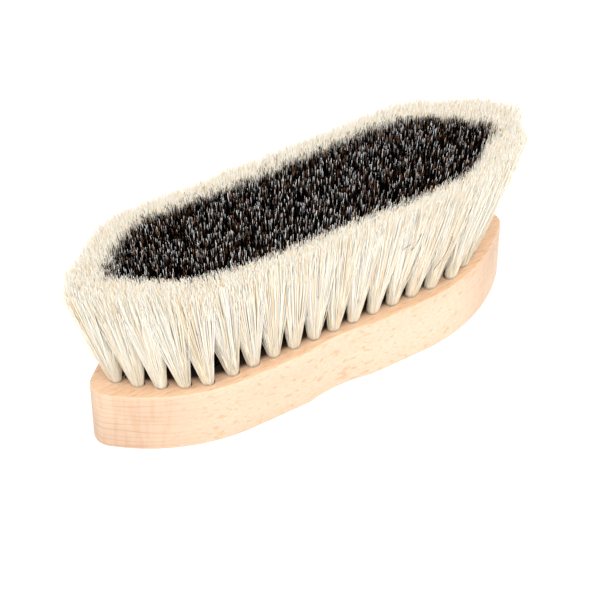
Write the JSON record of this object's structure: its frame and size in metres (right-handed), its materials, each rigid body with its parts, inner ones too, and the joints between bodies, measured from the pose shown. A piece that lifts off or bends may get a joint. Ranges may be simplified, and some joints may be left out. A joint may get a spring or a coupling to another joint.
{
  "type": "bee brush",
  "caption": "Hand brush with a waisted beech block and soft horsehair tufts, a light outer ring round a dark field, for sweeping bees off a comb.",
  "frame": {"origin": "middle of the flat back of the block, which is the face the brush lies on", "axes": "+X along the length of the block, +Y across it, +Z from the flat back towards the tips of the hair"},
  "size_m": [0.2056, 0.0604, 0.0845],
  "materials": {
    "beech": "fine-sanded, lightly oiled",
    "light_horsehair": "natural ivory hair with tan strands",
    "dark_horsehair": "natural black and brown hair flecked with grey",
    "anchor_wire": "galvanised flat wire"
  },
  "bodies": {
    "root": {"handle_block": "beech", "light_tuft_01": "light_horsehair", "light_tuft_02": "light_horsehair", "light_tuft_03": "light_horsehair", "light_tuft_04": "light_horsehair", "light_tuft_05": "light_horsehair", "light_tuft_06": "light_horsehair", "light_tuft_07": "light_horsehair", "light_tuft_08": "light_horsehair", "light_tuft_09": "light_horsehair", "light_tuft_10": "light_horsehair", "light_tuft_11": "light_horsehair", "light_tuft_12": "light_horsehair", "light_tuft_13": "light_horsehair", "light_tuft_14": "light_horsehair", "light_tuft_15": "light_horsehair", "light_tuft_16": "light_horsehair", "light_tuft_17": "light_horsehair", "light_tuft_18": "light_horsehair", "light_tuft_19": "light_horsehair", "light_tuft_20": "light_horsehair", "light_tuft_21": "light_horsehair", "light_tuft_22": "light_horsehair", "light_tuft_23": "light_horsehair", "light_tuft_24": "light_horsehair", "light_tuft_25": "light_horsehair", "light_tuft_26": "light_horsehair", "light_tuft_27": "light_horsehair", "light_tuft_28": "light_horsehair", "light_tuft_29": "light_horsehair", "light_tuft_30": "light_horsehair", "light_tuft_31": "light_horsehair", "light_tuft_32": "light_horsehair", "light_tuft_33": "light_horsehair", "light_tuft_34": "light_horsehair", "light_tuft_35": "light_horsehair", "light_tuft_36": "light_horsehair", "light_tuft_37": "light_horsehair", "light_tuft_38": "light_horsehair", "light_tuft_39": "light_horsehair", "light_tuft_40": "light_horsehair", "dark_tufts_outer_front": "dark_horsehair", "dark_tufts_outer_back": "dark_horsehair", "dark_tufts_inner_front": "dark_horsehair", "dark_tufts_inner_back": "dark_horsehair", "dark_tufts_centre_row": "dark_horsehair", "light_tuft_anchors": "anchor_wire", "dark_outer_front_anchors": "anchor_wire", "dark_outer_back_anchors": "anchor_wire", "dark_inner_front_anchors": "anchor_wire", "dark_inner_back_anchors": "anchor_wire", "dark_centre_row_anchors": "anchor_wire"}
  },
  "joints": []
}
